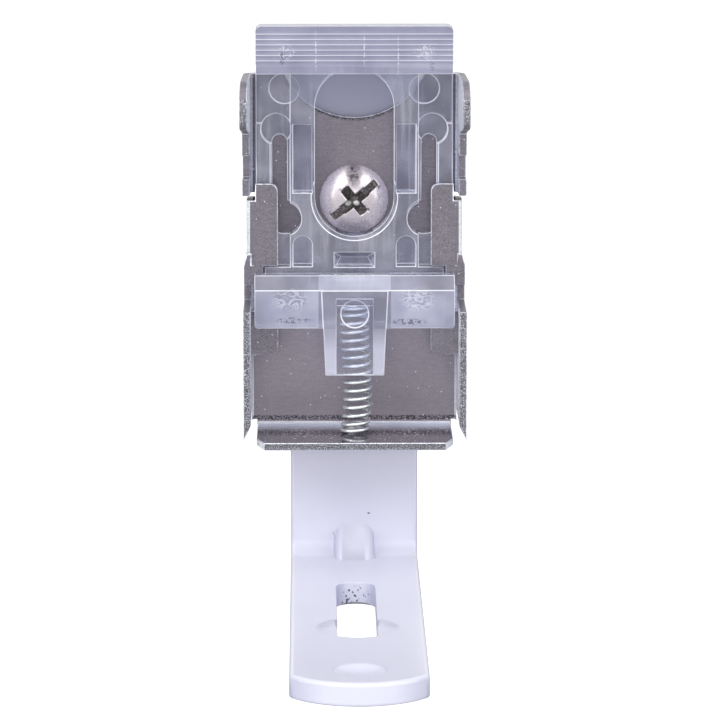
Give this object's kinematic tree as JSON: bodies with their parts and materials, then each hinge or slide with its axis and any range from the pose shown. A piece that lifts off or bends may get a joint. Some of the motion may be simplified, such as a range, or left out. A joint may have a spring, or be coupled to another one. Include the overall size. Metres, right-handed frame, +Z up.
{
  "type": "curtain track bracket",
  "caption": "Wall bracket for a curtain track: white bent steel arm with a slotted foot, zinc plated clip, clear sprung release slider and clamp screw.",
  "frame": {"origin": "centre of the foot's slotted hole, on the foot's underside", "axes": "+X across the strip, +Y from the foot's rounded end towards the upright arm, +Z up along the arm"},
  "size_m": [0.0304, 0.0761, 0.0756],
  "materials": {
    "white_coat": "smooth satin powder coat, cool white",
    "zinc_plate": "zinc plated sheet, satin with fine rolling marks, sheared cut edges",
    "nickel_screw": "bright nickel plate",
    "clear_plastic": "clear moulded plastic, slightly hazy, glossy",
    "spring_wire": "bright drawn spring wire"
  },
  "bodies": {
    "bracket": {"wall_arm": "white_coat", "housing": "zinc_plate", "clamp_screw": "nickel_screw", "return_spring": "spring_wire"},
    "slider": {"release_slider": "clear_plastic"}
  },
  "joints": [
    {"name": "slider_release", "type": "slide", "parent": "bracket", "child": "slider", "axis": [0, 0, -1], "range_m": [0, 0.004], "stiffness_N_per_m": 500, "springref_m": -0.004, "deforming": ["return_spring"]}
  ]
}
